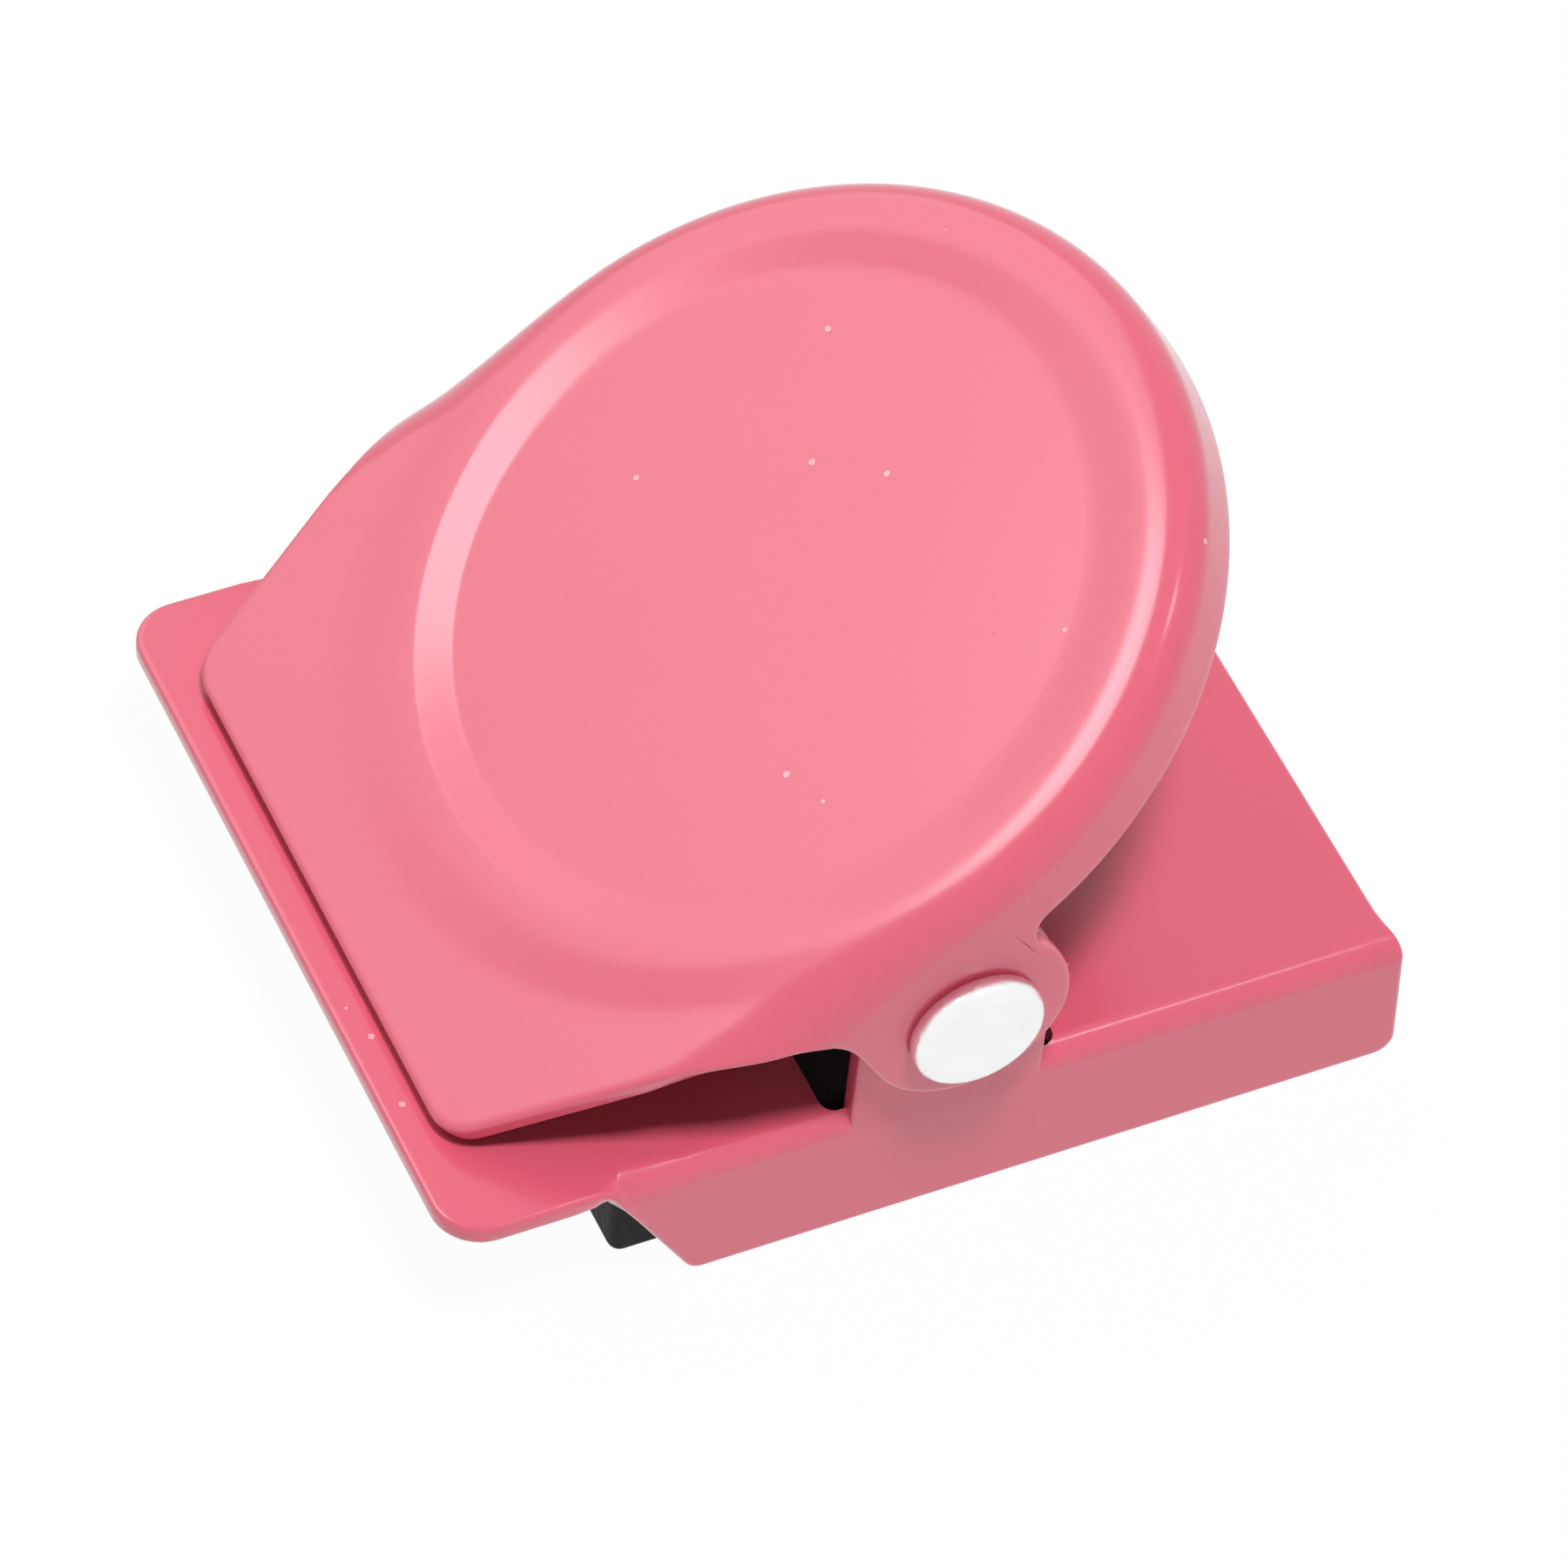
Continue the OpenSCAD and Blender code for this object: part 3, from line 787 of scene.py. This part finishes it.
# %% [markdown]
# A punch cuts each ear of the base free on three sides and bends it up, which leaves a slot in the
# top. The ear could be bent out of the mesh as well, but cutting a slot and joining a tab on gives
# the same shape in two plain steps. The ears stand in line with the flanges.

# %% Base: the slots and the ears
BASE_EAR_R = 3.65
EAR_FOOT = -6.5
EAR_STEP = 0.005
EAR_EDGE = 0.15
LANCE_HALF = 4.45
LANCE_OUT = 14.45
LANCE_IN = 5.3
LANCE_CORNER = 0.5
LANCE_Z = (4.75, 8)
BASE_BORE = 1.52
slot_corners = [(LANCE_IN, -LANCE_HALF), (LANCE_OUT, -LANCE_HALF),
                (LANCE_OUT, LANCE_HALF), (LANCE_IN, LANCE_HALF)]
plan = np.vstack([round_corner(slot_corners[k - 1], corner, slot_corners[(k + 1) % 4],
                               LANCE_CORNER, 6) for k, corner in enumerate(slot_corners)])
ear = np.vstack((line((-BASE_EAR_R, EAR_FOOT), (-BASE_EAR_R, 0), 6)[:-1],
                 arc((0, 0), BASE_EAR_R, 180, 0, 36),
                 line((BASE_EAR_R, 0), (BASE_EAR_R, EAR_FOOT), 6)[1:]))
for side in (1, -1):
    tool = grow("slot", [[(side * x, y + PIVOT.y, z) for x, y in plan] for z in LANCE_Z])
    trim(base, tool, "DIFFERENCE")
    tab = grow("ear", [[(side * x, y + PIVOT.y, z + PIVOT.z) for y, z in ear]
                       for x in (BASE_HALF - BASE_SHEET, BASE_HALF - EAR_STEP)])
    soften(tab, EAR_EDGE)
    trim(base, tab, "UNION")
rod = pivot_rod(BASE_BORE)
rod.location = PIVOT * MM
trim(base, rod, "DIFFERENCE")
dress(base, paint, "base", "base_plate")

# %% [markdown]
# ## Rivet
# The rivet is a turned shape. Three cylinders could stand for it, but their edges would catch no
# light. So rings round the pivot follow its profile: a flat head with a worn chamfer, the straight
# shank, and the same head again.

# %% Rivet
SHANK_R = 1.5
HEAD_R = 2.45
HEAD_IN = 16.0
HEAD_OUT = 16.9
head = [(HEAD_OUT - 0.05, 0.5), (HEAD_OUT - 0.02, 1.3), (HEAD_OUT, 1.9),
        (HEAD_OUT - 0.02, 2.06), (HEAD_OUT - 0.09, 2.22), (HEAD_OUT - 0.2, 2.36),
        (HEAD_OUT - 0.36, HEAD_R),
        (HEAD_IN + 0.16, HEAD_R), (HEAD_IN + 0.04, HEAD_R - 0.05), (HEAD_IN, HEAD_R - 0.2),
        (HEAD_IN, SHANK_R + 0.1), (HEAD_IN - 0.08, SHANK_R)]
profile = head + [(x, SHANK_R) for x in (8, 0, -8)] + [(-x, r) for x, r in reversed(head)]
circle = np.linspace(0, 2 * math.pi, 72, endpoint=False)
rivet = grow("turned_rivet", [[(x, PIVOT.y + r * math.cos(a), PIVOT.z + r * math.sin(a))
                               for a in circle] for x, r in profile])
dress(rivet, plated, "base", "pivot_rivet")

# %% [markdown]
# ## Spring
# The spring is wound wire: one leg lies on the base, the wire goes round the rivet, and the other
# leg comes out under the pad. A Screw modifier could wind the coil, but not its legs. So a curve
# follows the whole wire, a round bevel gives it its thickness, and it becomes a mesh. When the
# handle turns, one end of the coil stays with the base and the other goes with the handle.

# %% Spring: the path of the wire
WIRE_R = 0.6
COIL_CLEAR = 0.65
COIL_R = SHANK_R + COIL_CLEAR + WIRE_R
COIL_PITCH = 2 * WIRE_R + 0.5
COIL_TURNS = 5
COIL_POINTS = 200
LEG_REACH = 11.0
LEG_CLEAR = 0.1
base_seat = complex(LEG_REACH, BASE_TOP + LEG_CLEAR + WIRE_R - PIVOT.z)
pad_seat = complex(LEG_REACH, DISH - HANDLE_SHEET - LEG_CLEAR - WIRE_R) * complex(
    math.cos(HANDLE_LEAN), math.sin(HANDLE_LEAN))


def bearing(seat):
    return math.atan2(seat.imag, seat.real)


base_leg = bearing(base_seat) + math.asin(COIL_R / abs(base_seat))
pad_leg = bearing(pad_seat) - math.asin(COIL_R / abs(pad_seat))
coil_start = base_leg - math.pi / 2
coil_sweep = 2 * math.pi * (COIL_TURNS + 1) - (pad_leg + math.pi / 2 - coil_start)
coil_half = COIL_PITCH * coil_sweep / (4 * math.pi)
path = [(-coil_half, base_seat.real, base_seat.imag)]
for share in np.linspace(0, 1, COIL_POINTS):
    a = coil_start - share * coil_sweep
    path.append(((2 * share - 1) * coil_half, COIL_R * math.cos(a), COIL_R * math.sin(a)))
path.append((coil_half, pad_seat.real, pad_seat.imag))
print("the coil is", round(2 * coil_half, 2), "mm long")

# %% [markdown]
# The path becomes a curve of straight steps, which are short enough to look round, and the curve
# then becomes a mesh.

# %% Spring: the wire
winding = bpy.data.curves.new("winding", "CURVE")
winding.dimensions = "3D"
winding.bevel_depth = WIRE_R * MM
winding.bevel_resolution = 4
winding.use_fill_caps = True
strand = winding.splines.new("POLY")
strand.points.add(len(path) - 1)
for point, place_mm in zip(strand.points, path):
    point.co = (*((Vector(place_mm) + PIVOT) * MM), 1)
spring = bpy.data.objects.new("wound_spring", winding)
bpy.context.scene.collection.objects.link(spring)
pick(spring)
bpy.ops.object.convert(target="MESH")
spring = bpy.context.object
dress(spring, wire, None, "torsion_spring")
-(coil_half - 1) * MM
(coil_half - 1) * MM
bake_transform(spring)

# %% [markdown]
# ## Magnet
# The magnet is a pressed block. One bevel on all its edges would make it look like soap, so it
# starts as a cube at its size, and bevels round its upright edges and only break the others. The
# bond above it keeps its CAD solid and only gets its finish.

# %% Magnet and bond
MAGNET_CORNER = 0.5
MAGNET_EDGE = 0.18
low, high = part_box("magnet")
bpy.ops.object.select_all(action="DESELECT")
bpy.ops.mesh.primitive_cube_add(size=1, location=(low + high) / 2)
block = bpy.context.object
block.name = "ferrite_block"
block.scale = high - low
pick(block)
bpy.ops.object.transform_apply(location=True, rotation=True, scale=True)
bpy.ops.object.mode_set(mode="EDIT")
bpy.ops.mesh.select_all(action="DESELECT")
bpy.ops.object.mode_set(mode="OBJECT")
for edge in block.data.edges:
    ends = [block.data.vertices[index].co for index in edge.vertices]
    edge.select = abs(ends[0].z - ends[1].z) > MM
bpy.ops.object.mode_set(mode="EDIT")
bpy.ops.mesh.bevel(offset=MAGNET_CORNER * MM, segments=6)
bpy.ops.object.mode_set(mode="OBJECT")
soften(block, MAGNET_EDGE)
dress(block, ferrite, "base", "magnet")
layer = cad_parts["magnet_adhesive"]
layer.data.materials.clear()
layer.data.materials.append(bond)

# %% [markdown]
# ## Stage
# The photograph shows the clip on plain white. A very bright floor would give that too, but it
# would bleach the paint. So floor and room are white only to the rays that the camera sends out
# and to those that gloss or glass sends on. To all other rays the floor is a matt pale sheet and
# the room a dim one. The small part of the floor that still shows the lamps' light keeps a faint
# shadow.

# %% Stage
FLOOR_SIZE = 6
FLOOR_Z = -0.03 * MM
FLOOR_COLOUR = (0.85, 0.85, 0.85, 1)
FLOOR_GLOW = 0.97
WHITE = (1, 1, 1, 1)
ROOM = 0.2
bpy.ops.object.select_all(action="DESELECT")
bpy.ops.mesh.primitive_plane_add(size=FLOOR_SIZE, location=(0, 0, FLOOR_Z))
floor = bpy.context.object
floor.name = "white_floor"
floor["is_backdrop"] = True


def seen_directly(tree):
    rays = [Tap.node(tree, "ShaderNodeLightPath", output=f"Is {kind} Ray")
            for kind in ("Camera", "Glossy", "Transmission")]
    return rays[0] + rays[1] + rays[2] > 0.5


white = bpy.data.materials.new("white_sweep")
white.use_nodes = True
tree = white.node_tree
shader = tree.nodes["Principled BSDF"]
shader.inputs["Base Color"].default_value = FLOOR_COLOUR
shader.inputs["Roughness"].default_value = 0.9
matt = Tap(tree, shader.outputs[0])
glow = Tap.node(tree, "ShaderNodeEmission", None, {"Color": WHITE, "Strength": 1.0})
lit = Tap.node(tree, "ShaderNodeMixShader", None,
               {0: seen_directly(tree) * FLOOR_GLOW, 1: matt, 2: glow})
tree.links.new(lit.socket, tree.nodes["Material Output"].inputs["Surface"])
floor.data.materials.append(white)

world = bpy.data.worlds.new("white_room")
bpy.context.scene.world = world
world.use_nodes = True
tree = world.node_tree
room = tree.nodes["Background"]
room.inputs["Color"].default_value = WHITE
feed(tree, seen_directly(tree) * (1 - ROOM) + ROOM, room, "Strength")
print("white floor and room set")

# %% [markdown]
# ## Lamps
# The photograph's light comes from above. A small key lamp hangs there, a little to the near side:
# it throws the narrow shadow beside the pad's rim, and it has no mirror image, which would burn a
# white patch into the paint. A softbox on the far side of the nose lights the pad and the bead's
# slope. The window is seen only in the gloss, and draws the bright front of the bead. The line
# lamp draws the thin light along the rim, and a weak lamp on the right fills the flange.

# %% Lamps
MIDDLE = Vector((0, 0, 10)) * MM


def lamp(name, way, distance, wide, tall, watts, mirrored=True, lights=True):
    way = Vector(way).normalized()
    bpy.ops.object.light_add(type="AREA", location=MIDDLE + way * distance)
    made = bpy.context.object
    made.name = name
    made.rotation_euler = way.to_track_quat("Z", "Y").to_euler()
    made.data.shape = "RECTANGLE"
    made.data.size = wide
    made.data.size_y = tall
    made.data.energy = watts
    made.visible_glossy = mirrored
    made.visible_diffuse = lights


lamp("key", (0.29, -0.045, 0.95), 0.6, 0.09, 0.09, 2.9, mirrored=False)
lamp("softbox", (-0.70, -0.28, 0.66), 0.4, 0.4, 0.26, 0.48)
lamp("window", (-0.31, -0.43, 0.845), 0.2, 0.065, 0.065, 0.1, lights=False)
lamp("line", (0.2, 0.32, 0.92), 0.6, 0.05, 0.05, 0.16)
lamp("right", (0.75, 0.62, 0.1), 0.6, 0.1, 0.1, 0.22, mirrored=False)
bpy.context.scene.view_settings.view_transform = "Standard"

# %% [markdown]
# ## Box of the dressed clip
# The dressed clip must not be larger than the CAD model, so its box is printed in millimetres.

# %% Box of the dressed clip
low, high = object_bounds()
print("visual box in mm:", [round(size / MM, 2) for size in high - low])
